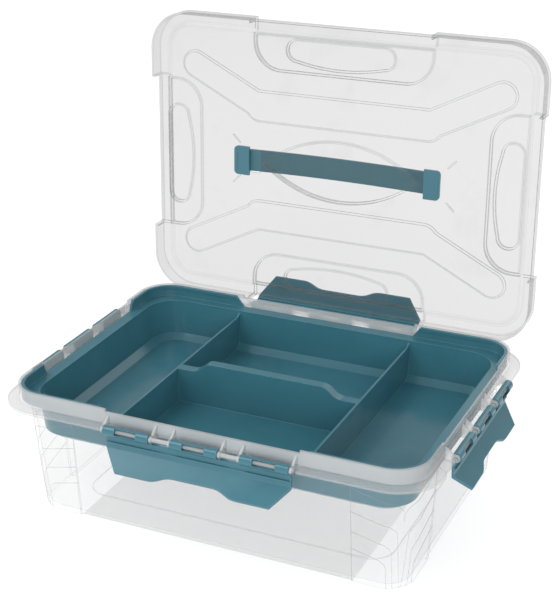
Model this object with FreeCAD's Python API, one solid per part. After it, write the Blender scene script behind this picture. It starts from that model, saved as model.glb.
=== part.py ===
import FreeCAD, Part
import math
import os

os.makedirs("parts", exist_ok=True)
V = FreeCAD.Vector

# Sewing box: clear base with a lift-out divided tray, clear hinged lid, four
# snap latches on rods moulded along the rim, and a carry strap through the lid.
# Millimetres. X runs along the long side, Y towards the back, Z up from the flat
# base. Everything is laid out with the box closed and then opened to its rest
# pose at the end.

# ---------------------------------------------------------------- overall sizes
RIM_LENGTH = 375.0          # box rim, outside, along X
RIM_WIDTH = 266.2           # box rim, outside, along Y
BASE_HEIGHT = 119.1         # flat base to the top of the rim corners
RIM_CORNER = 30.7           # outside corner radius of the rim

# ---------------------------------------------------------------- box
WALL = 2.0                  # body wall, floor and rim thickness
RIM_DEPTH = 15.9            # rim top down to the underside of the ledge
LEDGE = 2.4                 # thickness of the ledge and the corner flanges
RIM_STEP = 8.0              # rim stands this far outside the body
BODY_TAPER = 7.5            # body narrows this much on each side down to the base
BODY_CORNER = 26.0          # body corner radius at the ledge
RIM_DIP = 2.5               # rim is lower along the latch sections
CORNER_PAD = 0.4            # body corners stand proud by this much
CORNER_ZONE_X = 60.0        # proud corner zones start this far in from the rim
CORNER_ZONE_Y = 70.0
TERRACES = 4                # nested raised panels on each wall of a corner
TERRACE_STEP = 0.35         # each stands proud of the one around it
TERRACE_DROP = 12.7         # ledge down to the first panel top, at the edge of the zone
TERRACE_PITCH = 21.8        # first panel top down to the second
TERRACE_FADE = 0.86         # each further pitch is smaller by this factor
TERRACE_FALL = 0.24         # slope of the panel tops towards the corner
TERRACE_END = 17.5          # the first panel ends this far in from the rim
TERRACE_INSET = 4.4         # and each further panel ends this much earlier
FLANGE = 9.3                # flange and rod stand-off outside the rim
FLOOR_PANEL = 1.0           # raised panel inside the floor

# ---------------------------------------------------------------- latches and rods
ROD_R = 2.0
ROD_FIT = 0.02              # rod in its moulded lug
BORE_FIT = 0.06             # knuckle on the rod
KNUCKLE_R = 4.3
LONG_KNUCKLE = 42.5         # knuckle length and spacing on the long sides
LONG_GAP = 20.0
SHORT_KNUCKLE = 39.5        # knuckle length and spacing on the short sides
SHORT_GAP = 12.0
LUG = 2.4                   # thickness of one lug
LUG_R = 3.2
LUG_SIDE_GAP = 0.3          # air between a lug and the knuckle beside it
WINDOW = 20.0               # opening in each knuckle that shows the rod
WINDOW_HEIGHT = 5.4
LATCH_T = 2.0               # latch arm and grip thickness
GRIP_REACH = 24.0           # grip feet reach this far in from the rod
GRIP_ARCH = 18.5            # grip reach at the middle of the arch
GRIP_TILT = 22.0            # a closed grip rises inwards at this angle, degrees
GRIP_AIR = 0.3              # air between a closed grip and the lid edge
NOTCH_LONG = 88.5           # half length of the latch section, long sides
NOTCH_SHORT = 75.5          # half length of the latch section, short sides

# ---------------------------------------------------------------- lid
LID_T = 1.8
LID_OVERHANG = 5.2          # lid corners outside the rim
LIP_OVERHANG = 3.0          # lid edge outside the rim along the latch sections
LID_RISE = 3.9              # lid corner top above the rim top
LIP_RISE = 2.1              # lid edge top above the rim top in the latch sections
LIP_DEPTH = 5.4
SKIRT_AIR = 0.8             # lid skirt above the corner flange
PANEL_DROP = 3.4            # panel below the raised border
HOLLOW_DROP = 4.0           # edge hollows below the panel
POCKET_DROP = 3.6           # finger pockets below the edge hollows
HAND_DROP = 4.8             # hand hollow below the panel
HOLLOW_LONG = 86.5          # half length and width of the edge hollows, long sides
HOLLOW_LONG_W = 31.0
HOLLOW_SHORT = 72.5         # the same on the short sides
HOLLOW_SHORT_W = 32.0
HOLLOW_CORNER = 25.0
HOLLOW_SETBACK_X = 13.0      # hollows start this far in from the lid edge
HOLLOW_SETBACK_Y = 13.7
POCKET_LONG = 52.0          # half length of the finger pockets
POCKET_SHORT = 48.0
POCKET_W = 25.0
POCKET_BOW = 5.0            # bow of their inner side
POCKET_END = 9.0            # corner radius of the finger pockets
HAND_GAP = 7.9              # panel between the hand hollow and each strap slot
HAND_REACH = 28.0           # half width of the hand hollow
BAND_RISE = 1.4             # raised bands above the panel
BAND_HALF = 15.5            # half width of a band's straight middle
BAND_ARM = 13.5             # half width of a band's splayed arm
BAND_BEND = 84.0            # where a band bends, off the middle
BAND_CORNER_X = 38.5        # arm ends, in from the lid edge
BAND_CORNER_Y = 48.0
LID_OPEN = 92.5             # rest opening of the lid, degrees

# ---------------------------------------------------------------- tray
TRAY_T = 1.6
TRAY_RIM_T = 1.8
TRAY_SEAT = 0.3             # tray ledge above the box ledge
TRAY_RIM_GAP = 0.6          # tray rim inside the box rim
TRAY_TOP_GAP = 0.8          # tray rim top below the rim corners
TRAY_DEPTH = 37.3           # tray floor below its ledge
TRAY_DRAFT = 4.4
DIVIDER_DROP = 3.4          # divider tops below the tray ledge
DIVIDER_T = 2.0
DIVIDER_X = 87.5            # long dividers either side of the middle
CROSS_AT = -5.0             # cross divider, off the middle towards the front
CROSS_W = 9.0
CROSS_RISE = 9.4            # raised middle of the cross divider
CROSS_FLAT = 14.5           # low length of its top next to a long divider
CROSS_SWOOP = 21.0          # length of the curve up to the raised middle

# ---------------------------------------------------------------- carry handle
STRAP_W = 21.0
STRAP_T = 2.2
STRAP_HALF = 90.5           # outer face of the strap legs from its middle
STRAP_BOW = 4.8
PLATE_L = 13.5
PLATE_W = 28.0
PLATE_T = 2.4
STRAP_PLAY = 5.0            # the strap can slide this far either way in its slots
MOVE_AIR = 0.3              # air between moving pieces
SLOT_AIR = 0.4              # air at each end of the strap's travel

# ---------------------------------------------------------------- derived heights
RX = RIM_LENGTH / 2
RY = RIM_WIDTH / 2
LEDGE_Z0 = BASE_HEIGHT - RIM_DEPTH
LEDGE_Z1 = LEDGE_Z0 + LEDGE
ROD_X = RX + FLANGE
ROD_Y = RY + FLANGE
ROD_Z = LEDGE_Z1
LID_TOP = BASE_HEIGHT + LID_RISE
LIP_TOP = BASE_HEIGHT + LIP_RISE
PANEL_Z = LID_TOP - PANEL_DROP
HOLLOW_Z = PANEL_Z - HOLLOW_DROP
POCKET_Z = HOLLOW_Z - POCKET_DROP
HAND_Z = PANEL_Z - HAND_DROP
SLOT_IN = STRAP_HALF - STRAP_T - STRAP_PLAY - SLOT_AIR
SLOT_OUT = STRAP_HALF + STRAP_PLAY + SLOT_AIR
LIP_EDGE_X = RX + LIP_OVERHANG
LIP_EDGE_Y = RY + LIP_OVERHANG
FAR = 60.0


# ---------------------------------------------------------------- shape helpers
def outline(hx, hy, r, z):
    """Closed rounded rectangle at height z."""
    k = r * (1 - math.sqrt(0.5))
    line = Part.makeLine

    def bend(a, b, c):
        return Part.Arc(V(*a, z), V(*b, z), V(*c, z)).toShape()

    return Part.Wire([
        line(V(hx, r - hy, z), V(hx, hy - r, z)),
        bend((hx, hy - r), (hx - k, hy - k), (hx - r, hy)),
        line(V(hx - r, hy, z), V(r - hx, hy, z)),
        bend((r - hx, hy), (k - hx, hy - k), (-hx, hy - r)),
        line(V(-hx, hy - r, z), V(-hx, r - hy, z)),
        bend((-hx, r - hy), (k - hx, k - hy), (r - hx, -hy)),
        line(V(r - hx, -hy, z), V(hx - r, -hy, z)),
        bend((hx - r, -hy), (hx - k, k - hy), (hx, r - hy)),
    ])


def prism(hx, hy, r, z0, z1):
    return Part.Face(outline(hx, hy, r, z0)).extrude(V(0, 0, z1 - z0))


def stack(*levels):
    """Straight-sided solid through rounded rectangles (hx, hy, r, z)."""
    return Part.makeLoft([outline(*level) for level in levels], True, True)


def block(x0, x1, y0, y1, z0, z1):
    return Part.makeBox(x1 - x0, y1 - y0, z1 - z0, V(x0, y0, z0))


def mirror_x(shape):
    return shape.mirror(V(0, 0, 0), V(1, 0, 0))


def mirror_y(shape):
    return shape.mirror(V(0, 0, 0), V(0, 1, 0))


def both_x(shape):
    return [shape, mirror_x(shape)]


def both_y(shape):
    return [shape, mirror_y(shape)]


def four(shape):
    return both_x(shape) + both_x(mirror_y(shape))


def flanks(half_long, half_short, from_x, from_y, z0, z1):
    """Blocks outside the given offsets, along the middle of every side."""
    long_side = block(-half_long, half_long, from_y, from_y + FAR, z0, z1)
    short_side = block(from_x, from_x + FAR, -half_short, half_short, z0, z1)
    return both_y(long_side) + both_x(short_side)


def turned(shape, angle):
    out = shape.copy()
    out.rotate(V(0, 0, 0), V(0, 0, 1), angle)
    return out


def profile(points, x0, x1):
    """Extrude a closed (y, z) polygon from x0 to x1."""
    wire = Part.makePolygon([V(x0, y, z) for y, z in points + points[:1]])
    return Part.Face(wire).extrude(V(x1 - x0, 0, 0))


def rod(radius, x0, x1):
    return Part.makeCylinder(radius, x1 - x0, V(x0, 0, 0), V(1, 0, 0))


def to_side(shape, side):
    """Move a shape built about a rod (outward is +Y) to one side of the box."""
    turn, x, y = {
        "back": (0, 0, ROD_Y),
        "front": (180, 0, -ROD_Y),
        "right": (-90, ROD_X, 0),
        "left": (90, -ROD_X, 0),
    }[side]
    out = turned(shape, turn)
    out.translate(V(x, y, ROD_Z))
    return out


def knuckles(length, gap):
    """Start and end of the three knuckles along a rod."""
    half = length / 2
    outer = half + gap
    return [(-outer - length, -outer), (-half, half), (outer, outer + length)]


LONG = knuckles(LONG_KNUCKLE, LONG_GAP)
SHORT = knuckles(SHORT_KNUCKLE, SHORT_GAP)


# ---------------------------------------------------------------- box
def body_level(z, grow):
    """Rounded rectangle of the tapered body at height z."""
    inset = RIM_STEP + BODY_TAPER * (1 - z / LEDGE_Z0) - grow
    corner = BODY_CORNER - BODY_TAPER * (1 - z / LEDGE_Z0) / 2 + grow
    return (RX - inset, RY - inset, corner, z)


def lug(x0, x1):
    web = profile([(-FLANGE - 0.5, -LUG_R), (0, -LUG_R), (0, LUG_R),
                   (-2, LUG_R), (-FLANGE - 0.5, 9.2)], x0, x1)
    return web.fuse(rod(LUG_R, x0, x1))


def lugs(spans):
    out = []
    for x0, x1 in spans:
        out.append(lug(x0 - LUG_SIDE_GAP - LUG, x0 - LUG_SIDE_GAP))
        out.append(lug(x1 + LUG_SIDE_GAP, x1 + LUG_SIDE_GAP + LUG))
    return out


def body_block(grow):
    """Outside of the body with its small bottom chamfer."""
    return stack(body_level(0, grow - 1.5), body_level(1.5, grow), body_level(LEDGE_Z0, grow))


def terraces(rim, zone):
    """Cutters for the nested panels of one wall end, as (x, z) regions swept along Y."""
    start = rim - zone
    top = LEDGE_Z0 - TERRACE_DROP
    pitch = TERRACE_PITCH
    out = []
    for number in range(TERRACES):
        end = rim - TERRACE_END - number * TERRACE_INSET
        fall = TERRACE_FALL * (end - start)
        points = [(start, 0), (end, 0), (end, top - fall - 5), (end - 1.5, top - fall - 1.8),
                  (end - 5, top - fall + 1.2), (start, top), (start, 0)]
        wire = Part.makePolygon([V(x, 0, z) for x, z in points])
        out.append(Part.Face(wire).extrude(V(0, FAR, 0)))
        top -= pitch
        pitch *= TERRACE_FADE
    return out


def corner_panels():
    """Nested panels on both walls of the corner at +X +Y."""
    out = []
    long_wall = terraces(RX, CORNER_ZONE_X)
    short_wall = [turned(mirror_x(piece), -90) for piece in terraces(RY, CORNER_ZONE_Y)]
    for number, (front, side) in enumerate(zip(long_wall, short_wall)):
        skin = body_block(CORNER_PAD + (number + 1) * TERRACE_STEP)
        front.translate(V(0, RY - 40, 0))
        side.translate(V(RX - 40, 0, 0))
        out += [skin.common(front), skin.common(side)]
    return out[0].fuse(out[1:])


def make_box():
    top = LEDGE_Z1 + 1
    outer = body_block(0)
    zone = block(RX - CORNER_ZONE_X, RX, RY - CORNER_ZONE_Y, RY, 0, LEDGE_Z0 + 1)
    pad = body_block(CORNER_PAD).common(zone)
    outer = outer.fuse(four(pad) + four(corner_panels()))
    inner = stack(body_level(WALL, -WALL - 2), body_level(WALL + 2, -WALL),
                  body_level(top, -WALL))
    flange = prism(RX + FLANGE, RY + FLANGE, RIM_CORNER + 8.3, LEDGE_Z0, LEDGE_Z1)
    flange = flange.cut(flanks(NOTCH_LONG, NOTCH_SHORT, RX, RY, LEDGE_Z0 - 1, top))
    rim = prism(RX, RY, RIM_CORNER, LEDGE_Z0, BASE_HEIGHT)
    well = prism(RX - WALL, RY - WALL, RIM_CORNER - WALL, LEDGE_Z1, BASE_HEIGHT + 1)
    dips = flanks(NOTCH_LONG - 0.5, NOTCH_SHORT - 0.5, RX - 10, RY - 10,
                  BASE_HEIGHT - RIM_DIP, BASE_HEIGHT + 1)
    shell = outer.fuse([flange, rim]).cut([inner, well] + dips)

    panel = prism(RX - 42.5, RY - 48, 20, WALL - 0.5, WALL + FLOOR_PANEL)
    extras = [panel]
    for side, spans in (("front", LONG), ("back", LONG), ("left", SHORT), ("right", SHORT)):
        extras += [to_side(piece, side) for piece in lugs(spans)]
    holes = [to_side(rod(ROD_R + ROD_FIT, -RX, RX), side) for side in ("front", "back")]
    holes += [to_side(rod(ROD_R + ROD_FIT, -NOTCH_SHORT, NOTCH_SHORT), side)
              for side in ("left", "right")]
    keep = [block(-NOTCH_LONG, NOTCH_LONG, y - 5, y + 5, ROD_Z - 5, ROD_Z + 5)
            for y in (ROD_Y, -ROD_Y)]
    holes[0] = holes[0].common(keep[1])
    holes[1] = holes[1].common(keep[0])
    return shell.fuse(extras).cut(holes).removeSplitter()


def make_rod(spans, side):
    end = spans[-1][1] + LUG_SIDE_GAP + LUG + 0.4
    return to_side(rod(ROD_R, -end, end), side)


# ---------------------------------------------------------------- latches
LIP_U = LIP_OVERHANG - FLANGE           # lid edge seen from the rod
LIP_W = LIP_TOP - ROD_Z
ARM_IN = 2.3                            # arm inner face off the rod axis
REACH = math.hypot(LIP_U, LIP_W)
SLANT = math.asin((ARM_IN - 0.5) / REACH) + math.atan2(-LIP_U, LIP_W)


def arm_point(n, t):
    """Point n outward and t along the closed arm, seen from the rod."""
    return (n * math.cos(SLANT) - t * math.sin(SLANT),
            n * math.sin(SLANT) + t * math.cos(SLANT))


def on_arm(n, w):
    """Point on the arm plane n at height w."""
    return ((n - w * math.sin(SLANT)) / math.cos(SLANT), w)


def grip_plan(half):
    """Plan of a latch: feet at the ends, arch in the middle."""
    s = half / 83.75
    low = -FAR / 2
    feet = (70.0 * s, 41.0 * s)
    arch = 17.0 * s

    def swoop(a, b, sign):
        mid = (a + b) / 2
        poles = [V(sign * a, -GRIP_REACH, low), V(sign * mid, -GRIP_REACH, low),
                 V(sign * mid, -GRIP_ARCH, low), V(sign * b, -GRIP_ARCH, low)]
        if sign < 0:
            poles.reverse()
        curve = Part.BezierCurve()
        curve.setPoles(poles)
        return curve.toShape()

    def line(a, b):
        return Part.makeLine(V(*a, low), V(*b, low))

    edges = [
        line((half, 12), (half, -6)),
        line((half, -6), (feet[0], -GRIP_REACH)),
        line((feet[0], -GRIP_REACH), (feet[1], -GRIP_REACH)),
        swoop(feet[1], arch, 1),
        line((arch, -GRIP_ARCH), (-arch, -GRIP_ARCH)),
        swoop(feet[1], arch, -1),
        line((-feet[1], -GRIP_REACH), (-feet[0], -GRIP_REACH)),
        line((-feet[0], -GRIP_REACH), (-half, -6)),
        line((-half, -6), (-half, 12)),
        line((-half, 12), (half, 12)),
    ]
    return Part.Face(Part.Wire(edges)).extrude(V(0, 0, FAR))


def make_latch(spans):
    """One latch in its closed position about the origin."""
    half = spans[-1][1]
    rise = math.tan(math.radians(GRIP_TILT))
    arm_out = ARM_IN + LATCH_T
    w0 = LIP_W + GRIP_AIR
    knee = on_arm(ARM_IN, w0)
    w1 = w0 + LATCH_T * 1.2
    elbow = on_arm(arm_out, w1)
    tip = GRIP_REACH + 2
    tip_low = w0 + (tip + knee[0]) * rise
    sheet = profile([arm_point(ARM_IN, 0), knee, (-tip, tip_low),
                     (-tip, tip_low + LATCH_T / math.cos(math.radians(GRIP_TILT))),
                     elbow, arm_point(arm_out, 0)], -half, half)
    sheet = sheet.common(grip_plan(half))
    hook = profile([arm_point(ARM_IN + 0.5, 10.2), arm_point(0.6, 10.8),
                    arm_point(0.6, 11.9), arm_point(ARM_IN + 0.5, 12.6)], -half + 1, half - 1)
    bead = rod(1.0, -half + 1, half - 1)
    bead.translate(V(0, elbow[0] - 0.5, elbow[1] - 0.5))
    body = sheet.fuse([hook, bead])
    gaps = [rod(6.5, a[1], b[0]) for a, b in zip(spans, spans[1:])]
    body = body.cut(gaps)
    body = body.fuse([rod(KNUCKLE_R, a, b) for a, b in spans])
    cuts = [rod(ROD_R + BORE_FIT, -half - 1, half + 1)]
    for a, b in spans:
        mid = (a + b) / 2
        window = block(mid - WINDOW / 2, mid + WINDOW / 2, -KNUCKLE_R - 2, 0,
                       -WINDOW_HEIGHT / 2, WINDOW_HEIGHT / 2)
        window.rotate(V(0, 0, 0), V(1, 0, 0), 50)
        cuts.append(window)
    return body.cut(cuts).removeSplitter()


def hang_angle(latch):
    """Swing that brings the latch's centre of mass straight below the rod."""
    c = latch.Solids[0].CenterOfMass
    return 90 + math.degrees(math.atan2(c.z, c.y))


# ---------------------------------------------------------------- lid
def d_recess(half, y0, y1, r, z0, z1):
    """Recess with a straight outer side at y1 and rounded inner corners at y0."""
    k = r * (1 - math.sqrt(0.5))
    pts = [V(-half, y1, z0), V(-half, y0 + r, z0), V(-half + k, y0 + k, z0),
           V(-half + r, y0, z0), V(half - r, y0, z0), V(half - k, y0 + k, z0),
           V(half, y0 + r, z0), V(half, y1, z0)]
    wire = Part.Wire([
        Part.makeLine(pts[0], pts[1]),
        Part.Arc(pts[1], pts[2], pts[3]).toShape(),
        Part.makeLine(pts[3], pts[4]),
        Part.Arc(pts[4], pts[5], pts[6]).toShape(),
        Part.makeLine(pts[6], pts[7]),
        Part.makeLine(pts[7], pts[0]),
    ])
    return Part.Face(wire).extrude(V(0, 0, z1 - z0))


def bow_recess(half, y0, y1, r, z0, z1):
    """Finger pocket: rounded bar with its inner side bowed out to y0."""
    y = y0 + POCKET_BOW
    mid = (y + y1) / 2
    bar = prism(half, (y1 - y) / 2, r, z0, z1)
    bar.translate(V(0, mid, 0))
    a = V(r - half, y, z0)
    b = V(half - r, y, z0)
    wire = Part.Wire([Part.makePolygon([a, V(a.x, mid, z0), V(b.x, mid, z0), b]),
                      Part.Arc(b, V(0, y0, z0), a).toShape()])
    bow = Part.Face(wire).extrude(V(0, 0, z1 - z0))
    return bar.fuse(bow).removeSplitter()


def eye_recess(half, reach, z0, z1):
    a = V(-half, 0, z0)
    b = V(half, 0, z0)
    wire = Part.Wire([Part.Arc(a, V(0, reach, z0), b).toShape(),
                      Part.Arc(b, V(0, -reach, z0), a).toShape()])
    return Part.Face(wire).extrude(V(0, 0, z1 - z0))


def capsule(p, q, r, z0, z1):
    """Flat bar with round ends from p to q."""
    length = math.hypot(q[0] - p[0], q[1] - p[1])
    angle = math.degrees(math.atan2(q[1] - p[1], q[0] - p[0]))
    bar = block(0, length, -r, r, 0, z1 - z0)
    ends = [Part.makeCylinder(r, z1 - z0, V(x, 0, 0)) for x in (0, length)]
    out = bar.fuse(ends)
    out.rotate(V(0, 0, 0), V(0, 0, 1), angle)
    out.translate(V(p[0], p[1], z0))
    return out


def bands(inset, z0, z1):
    """The two raised bands that splay towards the lid corners."""
    hollow_edge = LIP_EDGE_Y - HOLLOW_SETBACK_Y - HOLLOW_LONG_W
    y = (HAND_REACH + hollow_edge) / 2 - 5.7
    end = (LIP_EDGE_X - BAND_CORNER_X, LIP_EDGE_Y - BAND_CORNER_Y)
    arm = capsule(end, (BAND_BEND, y), BAND_ARM - inset, z0, z1)
    bar = capsule((-BAND_BEND, y), (BAND_BEND, y), BAND_HALF - inset, z0, z1)
    upper = bar.fuse(both_x(arm)).removeSplitter()
    return both_y(upper)


def lid_recesses(grow, drop):
    """All hollows in the lid panel, optionally grown to give them walls."""
    g = grow
    high = PANEL_Z + 1 if g == 0 else PANEL_Z - LID_T / 2
    edge_y = LIP_EDGE_Y - HOLLOW_SETBACK_Y
    edge_x = LIP_EDGE_X - HOLLOW_SETBACK_X
    hollow = d_recess(HOLLOW_LONG + g, edge_y - HOLLOW_LONG_W - g, edge_y + g, HOLLOW_CORNER + g,
                      HOLLOW_Z - drop, high)
    side_hollow = d_recess(HOLLOW_SHORT + g, edge_x - HOLLOW_SHORT_W - g, edge_x + g, HOLLOW_CORNER + g,
                           HOLLOW_Z - drop, high)
    pocket = bow_recess(POCKET_LONG + g, edge_y - POCKET_W - g, edge_y - 1.5 + g,
                        POCKET_END + g, POCKET_Z - drop, high)
    side_pocket = bow_recess(POCKET_SHORT + g, edge_x - POCKET_W - g, edge_x - 1.5 + g,
                             POCKET_END + g, POCKET_Z - drop, high)
    hand = eye_recess(SLOT_IN - HAND_GAP + 1.6 * g, HAND_REACH + g, HAND_Z - drop, high)
    out = both_y(hollow) + both_y(pocket) + [hand]
    for piece in (side_hollow, side_pocket):
        out += both_x(turned(piece, -90))
    return out


def make_lid():
    t = LID_T
    low = LEDGE_Z1 + SKIRT_AIR
    sky = LID_TOP + 5
    lx = RX + LID_OVERHANG
    ly = RY + LID_OVERHANG
    r = RIM_CORNER + LID_OVERHANG
    a = NOTCH_LONG - 0.9
    b = NOTCH_SHORT - 1.1

    outer = prism(lx, ly, r, low, LID_TOP)
    outer = outer.cut(flanks(a, b, LIP_EDGE_X, LIP_EDGE_Y, low - 1, sky))
    outer = outer.cut(flanks(a, b, RX - 17, RY - 17, LIP_TOP, sky))
    outer = outer.cut(flanks(a, b, RX - 17, RY - 17, low - 1, LIP_TOP - LIP_DEPTH))

    def dish(grow, drop):
        def level(inset, z):
            return (lx - inset + grow, ly - inset + grow, r - inset + grow, z - drop)
        return stack(level(15.2, PANEL_Z), level(11.4, LID_TOP), level(10.3, LID_TOP + 1))

    cavity = prism(lx - t, ly - t, r - t, low - 1, LID_TOP - t)
    cavity = cavity.cut(flanks(a + t, b + t, LIP_EDGE_X - t, LIP_EDGE_Y - t, low - 2, sky))
    cavity = cavity.cut(flanks(a + t, b + t, RX - 17, RY - 17, LIP_TOP - t, sky))
    cavity = cavity.cut(dish(t, t))

    lid = outer.cut([dish(0, 0), cavity])
    tick = capsule((SLOT_OUT + 9, STRAP_W / 2 + 6), (SLOT_OUT + 16, STRAP_W / 2 + 13), 0.6,
                   PANEL_Z - 0.5, PANEL_Z + 0.7)
    raised = bands(0, PANEL_Z - 0.5, PANEL_Z + BAND_RISE) + four(tick)
    lid = lid.fuse(lid_recesses(t, t) + raised)
    lid = lid.cut(lid_recesses(0, 0))
    lid = lid.cut(bands(t, PANEL_Z - t - 1, PANEL_Z - t + BAND_RISE))
    slot = block(SLOT_IN, SLOT_OUT,
                 -STRAP_W / 2 - 0.5, STRAP_W / 2 + 0.5, PANEL_Z - 2 * t, PANEL_Z + t)
    return lid.cut(both_x(slot)).removeSplitter()


# ---------------------------------------------------------------- tray
def make_tray():
    z0 = LEDGE_Z1 + TRAY_SEAT
    ledge = z0 + TRAY_RIM_T
    top = BASE_HEIGHT - TRAY_TOP_GAP
    hx = RX - WALL - TRAY_RIM_GAP
    hy = RY - WALL - TRAY_RIM_GAP
    r = RIM_CORNER - WALL - TRAY_RIM_GAP
    floor = z0 - TRAY_DEPTH
    bx = hx - 9.5
    by = hy - 9.5

    def well(grow, base, roof):
        slope = TRAY_DRAFT / TRAY_DEPTH
        knee = 6 * slope
        return stack((bx - TRAY_DRAFT - 7 + grow, by - TRAY_DRAFT - 7 + grow, 20 + grow, base),
                     (bx - TRAY_DRAFT + knee + grow, by - TRAY_DRAFT + knee + grow,
                      26 + grow, floor + 6),
                     (bx + grow, by + grow, 30 + grow, z0),
                     (bx + grow, by + grow, 30 + grow, roof))

    plate = prism(hx, hy, r, z0, ledge)
    rim = prism(hx, hy, r, z0, top).cut(
        prism(hx - TRAY_RIM_T, hy - TRAY_RIM_T, r - TRAY_RIM_T, z0 - 1, top + 1))
    roll = prism(hx, hy, r, top - 3, top).cut(
        prism(hx - 2.6, hy - 2.6, r - 2.6, top - 4, top + 1))
    rim = rim.fuse(roll)

    def notch(low_half, high_half, y):
        face = Part.Face(Part.makePolygon([
            V(-low_half, y, ledge), V(low_half, y, ledge), V(high_half, y, top + 1),
            V(-high_half, y, top + 1), V(-low_half, y, ledge)]))
        return face.extrude(V(0, 20, 0))

    long_notch = notch(NOTCH_LONG - 1.5, NOTCH_LONG + 7.5, hy - 10)
    short_notch = turned(notch(NOTCH_SHORT - 1.5, NOTCH_SHORT + 4.5, hx - 10), -90)
    rim = rim.cut(both_y(long_notch) + both_x(short_notch))

    sky = top + CROSS_RISE
    inside = well(-TRAY_T, floor + TRAY_T, sky)
    tub = well(0, floor, ledge).fuse([plate, rim]).cut(inside)

    wall_top = z0 - DIVIDER_DROP
    dx = DIVIDER_X
    long_y = hy
    divider = block(dx - DIVIDER_T / 2, dx + DIVIDER_T / 2, -long_y, long_y,
                    floor, wall_top)
    brace = Part.Face(Part.makePolygon([
        V(dx - DIVIDER_T / 2, by + 1, z0 + 0.5), V(dx - DIVIDER_T / 2, by - 8, wall_top - 0.5),
        V(dx - DIVIDER_T / 2, by + 1, wall_top - 0.5), V(dx - DIVIDER_T / 2, by + 1, z0 + 0.5)]))
    brace = brace.extrude(V(DIVIDER_T, 0, 0))

    def cross(inset, base, drop):
        """Double-walled cross divider between the long ones, raised in the middle."""
        end = dx - inset
        y = CROSS_AT - CROSS_W / 2 + inset
        low = wall_top - drop
        high = low + CROSS_RISE
        a = dx - CROSS_FLAT - drop / 2
        b = a - CROSS_SWOOP

        def swoop(sign):
            mid = (a + b) / 2
            poles = [V(sign * a, y, low), V(sign * mid, y, low),
                     V(sign * mid, y, high), V(sign * b, y, high)]
            curve = Part.BezierCurve()
            curve.setPoles(poles)
            return curve.toShape()

        def line(x0, za, x1, zb):
            return Part.makeLine(V(x0, y, za), V(x1, y, zb))

        edges = [line(-end, base, end, base), line(end, base, end, low),
                 line(end, low, a, low), swoop(1), line(b, high, -b, high), swoop(-1),
                 line(-a, low, -end, low), line(-end, low, -end, base)]
        face = Part.Face(Part.Wire(Part.sortEdges(edges)[0]))
        return face.extrude(V(0, CROSS_W - 2 * inset, 0))

    inner_clip = well(-TRAY_T / 2, floor, sky)
    walls = [piece.common(inner_clip) for piece in
             both_x(divider) + four(brace) + [cross(0, floor, 0)]]
    tub = tub.fuse(walls)
    hollow = cross(TRAY_T, floor - 1, TRAY_T).common(well(-TRAY_T, floor - 1, sky))
    gate = Part.makeCylinder(1.6, 0.5, V(DIVIDER_X + 42, -40, floor + TRAY_T - 0.1))
    return tub.cut(hollow).fuse(gate).removeSplitter()


# ---------------------------------------------------------------- carry handle
def make_handle():
    plate_top = PANEL_Z - LID_T - MOVE_AIR
    plate_low = plate_top - PLATE_T
    end_low = PANEL_Z + MOVE_AIR + 0.1
    end_top = end_low + STRAP_T
    s = STRAP_HALF
    y = -STRAP_W / 2
    wire = Part.Wire([
        Part.Arc(V(-s, y, end_top), V(0, y, end_top + STRAP_BOW), V(s, y, end_top)).toShape(),
        Part.makeLine(V(s, y, end_top), V(s, y, plate_low)),
        Part.makeLine(V(s, y, plate_low), V(s - STRAP_T, y, plate_low)),
        Part.makeLine(V(s - STRAP_T, y, plate_low), V(s - STRAP_T, y, end_low)),
        Part.Arc(V(s - STRAP_T, y, end_low), V(0, y, end_low + STRAP_BOW),
                 V(STRAP_T - s, y, end_low)).toShape(),
        Part.makeLine(V(STRAP_T - s, y, end_low), V(STRAP_T - s, y, plate_low)),
        Part.makeLine(V(STRAP_T - s, y, plate_low), V(-s, y, plate_low)),
        Part.makeLine(V(-s, y, plate_low), V(-s, y, end_top)),
    ])
    strap = Part.Face(wire).extrude(V(0, STRAP_W, 0))
    plate = d_recess(PLATE_W / 2, 0, PLATE_L + STRAP_T, 4, plate_low, plate_top)
    plate = turned(plate, 90)
    plate.translate(V(s + PLATE_L, 0, 0))
    bead = block(s + PLATE_L - 3.2, s + PLATE_L - 2.0, -9, 9, plate_low - 0.5, plate_low + 0.5)
    gate = Part.makeCylinder(1.5, 0.6, V(0, 0, end_low + STRAP_BOW - 0.4))
    handle = strap.fuse(both_x(plate) + both_x(bead) + [gate]).removeSplitter()
    handle.translate(V(-STRAP_PLAY, 0, 0))
    return handle


# ---------------------------------------------------------------- rest pose
def opened(shape):
    out = shape.copy()
    out.rotate(V(0, ROD_Y, ROD_Z), V(1, 0, 0), -LID_OPEN)
    return out


def hanging(latch, side):
    out = latch.copy()
    out.rotate(V(0, 0, 0), V(1, 0, 0), -hang_angle(latch))
    return to_side(out, side)


long_latch = make_latch(LONG)
short_latch = make_latch(SHORT)

nodes = {
    "box": make_box(),
    "tray": make_tray(),
    "lid": opened(make_lid()),
    "carry_handle": opened(make_handle()),
    "front_latch": hanging(long_latch, "front"),
    "left_latch": hanging(short_latch, "left"),
    "right_latch": hanging(short_latch, "right"),
    "back_latch": opened(to_side(long_latch, "back")),
    "hinge_rod_front": make_rod(LONG, "front"),
    "hinge_rod_back": make_rod(LONG, "back"),
    "hinge_rod_left": make_rod(SHORT, "left"),
    "hinge_rod_right": make_rod(SHORT, "right"),
}

for name, shape in nodes.items():
    solid = shape.Solids[0] if len(shape.Solids) == 1 else shape
    solid.exportStep("parts/" + name + ".step")
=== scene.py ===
import math

import bpy
from mathutils import Matrix, Vector

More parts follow.
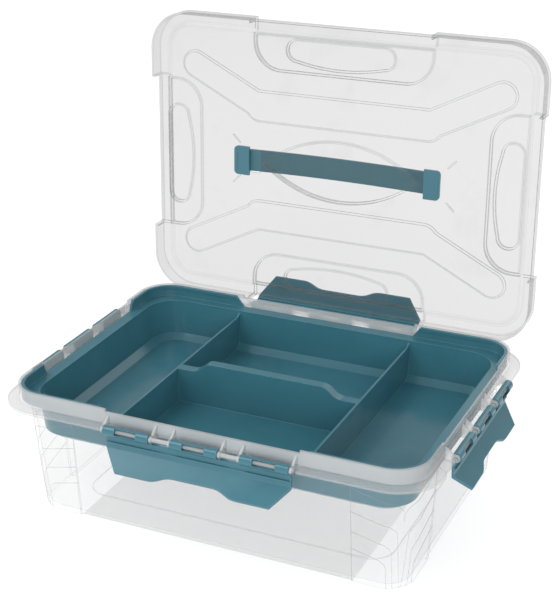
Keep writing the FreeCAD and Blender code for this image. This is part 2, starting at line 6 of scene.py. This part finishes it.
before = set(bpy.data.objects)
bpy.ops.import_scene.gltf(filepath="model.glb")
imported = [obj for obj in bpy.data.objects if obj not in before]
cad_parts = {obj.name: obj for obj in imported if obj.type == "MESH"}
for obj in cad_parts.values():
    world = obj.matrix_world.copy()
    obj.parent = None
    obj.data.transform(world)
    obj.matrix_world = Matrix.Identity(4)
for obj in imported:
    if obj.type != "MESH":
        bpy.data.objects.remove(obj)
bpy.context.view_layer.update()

# Studio picture of a clear sewing box: teal tray, strap and latches, clear base and lid.
# Metres, in the frame of the CAD.

scene = bpy.context.scene

PLASTIC_IOR = 1.49
PAINTED_REFRACTION_GREY = (0.24, 0.26, 0.27, 1)       # painted dark refraction lines along the edges of the clear pieces
PAINTED_HIGHLIGHT_TEAL = (0.085, 0.235, 0.290, 1)    # painted highlight along the edges of the teal pieces
TEAL_DEEP = (0.036, 0.138, 0.180)
TEAL_LIGHT = (0.045, 0.160, 0.204)
RIM_FOOT = 0.103                        # height where the painted highlight on the rim of the base begins
FLOOR_HALF = 6.0
FLOOR_GREY = (0.24, 0.28)               # darkest and palest tone of the floor
FLOOR_GLOW = 0.79                       # the floor is lit from below, like a light table
WORLD_LIGHT = 0.60
CLEAR_LAYERS = 48                       # clear surfaces that one ray may pass

# name: (place, aim height, size, power)
LIGHTS = {
    "key": ((-1.4, -0.9, 2.2), 0.15, 1.6, 26),
    "fill": ((1.8, -1.4, 1.4), 0.15, 1.6, 12),
    "back": ((0.3, 1.8, 1.8), 0.20, 1.8, 12),
    "low_front": ((0.5, -2.0, 0.5), 0.03, 1.4, 18),
    "low_left": ((-1.9, -0.7, 0.5), 0.03, 1.2, 8),
}

CAMERA_PLACE = (0.4967, -1.0534, 0.6754)
CAMERA_YAW = math.radians(24.79)        # turned left of straight ahead along +Y
CAMERA_PITCH = math.radians(23.036)     # looking down
CAMERA_ROLL = math.radians(-0.518)
CAMERA_LENS = 87.95                     # millimetres, on a 36 mm sensor
CAMERA_SENSOR = 36


# ---------------------------------------------------------------- materials
def new_material(name):
    mat = bpy.data.materials.new(name)
    mat.use_nodes = True
    nodes = mat.node_tree.nodes
    return mat, nodes, mat.node_tree.links, nodes["Principled BSDF"]


def add(nodes, kind, **values):
    """New node, with each value set on its socket or, where it has none, on the node."""
    node = nodes.new(kind)
    for key, value in values.items():
        if key in node.inputs:
            node.inputs[key].default_value = value
        else:
            setattr(node, key, value)
    return node


def ramp(nodes, links, source, stops):
    """Colour ramp through (position, value or colour) stops."""
    node = nodes.new("ShaderNodeValToRGB")
    elements = node.color_ramp.elements
    while len(elements) < len(stops):
        elements.new(0.5)
    for element, (place, colour) in zip(elements, stops):
        if not isinstance(colour, tuple):
            colour = (colour, colour, colour)
        element.position = place
        element.color = (*colour, 1)
    links.new(source, node.inputs["Fac"])
    return node.outputs["Color"]


def mixed(nodes, links, blend, factor, a, b):
    """Colour mix of a and b, where each of the three inputs is a value or a socket."""
    node = add(nodes, "ShaderNodeMix", data_type="RGBA", blend_type=blend)
    factor_socket, a_socket, b_socket, result = 0, 6, 7, 2
    for socket, value in ((factor_socket, factor), (a_socket, a), (b_socket, b)):
        if isinstance(value, bpy.types.NodeSocket):
            links.new(value, node.inputs[socket])
        else:
            node.inputs[socket].default_value = value
    return node.outputs[result]


def moulded_grain(nodes, links, bsdf, scale, depth, low, high):
    """Fine moulded surface: roughness drifts a little and the skin has a faint texture."""
    where = nodes.new("ShaderNodeTexCoord").outputs["Object"]
    broad = add(nodes, "ShaderNodeTexNoise", Scale=22.0, Detail=4.0, Roughness=0.6)
    links.new(where, broad.inputs["Vector"])
    links.new(ramp(nodes, links, broad.outputs["Fac"], [(0.3, low), (0.7, high)]),
              bsdf.inputs["Roughness"])
    fine = add(nodes, "ShaderNodeTexNoise", Scale=scale, Detail=3.0)
    links.new(where, fine.inputs["Vector"])
    bump = add(nodes, "ShaderNodeBump", Strength=0.08, Distance=depth)
    links.new(fine.outputs["Fac"], bump.inputs["Height"])
    soft = add(nodes, "ShaderNodeBevel", samples=4, Radius=0.0006)
    links.new(soft.outputs["Normal"], bump.inputs["Normal"])
    links.new(bump.outputs["Normal"], bsdf.inputs["Normal"])
    return where, broad.outputs["Fac"]


def edge_mask(nodes, links, radius):
    """1 along sharp edges of the moulding, 0 on its flats."""
    rounded = add(nodes, "ShaderNodeBevel", samples=6, Radius=radius)
    true = nodes.new("ShaderNodeNewGeometry").outputs["Normal"]
    dot = add(nodes, "ShaderNodeVectorMath", operation="DOT_PRODUCT")
    links.new(rounded.outputs["Normal"], dot.inputs[0])
    links.new(true, dot.inputs[1])
    return ramp(nodes, links, dot.outputs["Value"], [(0.75, 1.0), (0.995, 0.0)])


def teal_plastic():
    """Glossy moulded teal, with a painted highlight that makes it paler along its edges."""
    mat, nodes, links, bsdf = new_material("teal_plastic")
    _, broad = moulded_grain(nodes, links, bsdf, scale=900.0, depth=0.0001, low=0.13, high=0.24)
    colour = ramp(nodes, links, broad, [(0.25, TEAL_DEEP), (0.75, TEAL_LIGHT)])
    mask = edge_mask(nodes, links, radius=0.0010)
    # painted highlight: the teal turns paler along sharp edges
    links.new(mixed(nodes, links, "MIX", mask, colour, PAINTED_HIGHLIGHT_TEAL), bsdf.inputs["Base Color"])
    bsdf.inputs["IOR"].default_value = PLASTIC_IOR
    return mat


def clear_plastic(name, haze, tone, edge, line, rim_highlight_cover=None):
    """Clear moulded sheet: faint face on, grey and denser at grazing angles and edges; this grey is
    painted dark refraction.

    haze and edge are the cover seen face on and at a grazing angle, line is the cover
    along sharp edges, where the painted grey refraction lines go, tone is the grey of
    the sheet, and rim_highlight_cover is the cover from RIM_FOOT up, a painted highlight on the rim."""
    mat, nodes, links, bsdf = new_material(name)
    where, broad = moulded_grain(nodes, links, bsdf, scale=500.0, depth=0.0003, low=0.07, high=0.15)
    facing = add(nodes, "ShaderNodeLayerWeight", Blend=0.35).outputs["Facing"]
    mask = edge_mask(nodes, links, radius=0.0012)
    # painted shade: the grey of the sheet darkens at grazing angles, standing in for dark refraction
    body = ramp(nodes, links, facing, [(0.0, tone), (0.9, tone * 0.7)])
    # painted dark refraction lines: the colour turns grey along sharp edges
    links.new(mixed(nodes, links, "MIX", mask, body, PAINTED_REFRACTION_GREY), bsdf.inputs["Base Color"])
    cover = ramp(nodes, links, facing, [(0.0, haze), (0.6, haze * 1.5), (1.0, edge)])
    cloud = ramp(nodes, links, broad, [(0.3, haze * 0.8), (0.7, haze * 1.2)])
    cover = mixed(nodes, links, "LIGHTEN", 1.0, cover, cloud)
    # painted highlight: from RIM_FOOT up the rim of the base gets a denser cover
    if rim_highlight_cover:
        split = nodes.new("ShaderNodeSeparateXYZ")
        links.new(where, split.inputs[0])
        painted_rim_highlight = ramp(nodes, links, split.outputs["Z"], [(RIM_FOOT - 0.001, 0.0), (RIM_FOOT, rim_highlight_cover)])
        cover = mixed(nodes, links, "LIGHTEN", 1.0, cover, painted_rim_highlight)
    # the painted grey refraction lines are also made denser along sharp edges
    links.new(mixed(nodes, links, "LIGHTEN", mask, cover, (line, line, line, 1)),
              bsdf.inputs["Alpha"])
    bsdf.inputs["IOR"].default_value = PLASTIC_IOR
    return mat


def dress_nodes():
    """Material of every piece. The clear pieces cast no shadow."""
    teal = teal_plastic()
    clear = clear_plastic("clear_plastic", haze=0.055, tone=0.60, edge=0.65, line=0.60,
                          rim_highlight_cover=0.42)
    lid_clear = clear_plastic("lid_clear_plastic", haze=0.15, tone=0.08, edge=0.70, line=0.60)
    for name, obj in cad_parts.items():
        material = teal
        if name == "lid":
            material = lid_clear
        elif name == "box" or name.startswith("hinge_rod"):
            material = clear
        obj.visible_shadow = material is teal
        for slot in obj.material_slots:
            slot.material = material


# ---------------------------------------------------------------- floor, light, camera
def floor():
    """Pale floor, larger than the picture."""
    far = FLOOR_HALF
    mesh = bpy.data.meshes.new("floor")
    mesh.from_pydata([(-far, -far, 0), (far, -far, 0), (far, far, 0), (-far, far, 0)], [],
                     [(0, 1, 2, 3)])
    obj = bpy.data.objects.new("floor", mesh)
    scene.collection.objects.link(obj)
    mat, nodes, links, bsdf = new_material("pale_floor")
    where = nodes.new("ShaderNodeTexCoord").outputs["Object"]
    noise = add(nodes, "ShaderNodeTexNoise", Scale=3.0, Detail=2.0)
    links.new(where, noise.inputs["Vector"])
    dark, pale = FLOOR_GREY
    links.new(ramp(nodes, links, noise.outputs["Fac"], [(0.0, dark), (1.0, pale)]),
              bsdf.inputs["Base Color"])
    bsdf.inputs["Roughness"].default_value = 0.6
    bsdf.inputs["Emission Color"].default_value = (1, 1, 1, 1)
    bsdf.inputs["Emission Strength"].default_value = FLOOR_GLOW
    mesh.materials.append(mat)


def soft_light(name, place, aim_height, size, power):
    """Square area light, aimed at the given height above the middle of the box."""
    data = bpy.data.lights.new(name, "AREA")
    data.shape = "SQUARE"
    data.size = size
    data.energy = power
    obj = bpy.data.objects.new(name, data)
    obj.location = place
    aim = Vector((0, 0, aim_height)) - Vector(place)
    obj.rotation_mode = "QUATERNION"
    obj.rotation_quaternion = aim.to_track_quat("-Z", "Y")
    scene.collection.objects.link(obj)


def camera():
    level = math.cos(CAMERA_PITCH)
    ahead = Vector((-math.sin(CAMERA_YAW) * level, math.cos(CAMERA_YAW) * level,
                    -math.sin(CAMERA_PITCH)))
    right = Vector((math.cos(CAMERA_YAW), math.sin(CAMERA_YAW), 0))
    up = right.cross(ahead)
    x = right * math.cos(CAMERA_ROLL) + up * math.sin(CAMERA_ROLL)
    y = up * math.cos(CAMERA_ROLL) - right * math.sin(CAMERA_ROLL)
    data = bpy.data.cameras.new("camera")
    data.lens = CAMERA_LENS
    data.sensor_width = CAMERA_SENSOR
    obj = bpy.data.objects.new("camera", data)
    turn = Matrix((x, y, -ahead)).transposed().to_4x4()
    obj.matrix_world = Matrix.Translation(CAMERA_PLACE) @ turn
    scene.collection.objects.link(obj)
    scene.camera = obj


def studio_world():
    world = bpy.data.worlds.new("studio")
    world.use_nodes = True
    background = world.node_tree.nodes["Background"]
    background.inputs["Color"].default_value = (1, 1, 1, 1)
    background.inputs["Strength"].default_value = WORLD_LIGHT
    scene.world = world


dress_nodes()
floor()
for name, (place, aim_height, size, power) in LIGHTS.items():
    soft_light(name, place, aim_height, size, power)
camera()
studio_world()
scene.view_settings.view_transform = "Standard"
scene.cycles.transparent_max_bounces = CLEAR_LAYERS
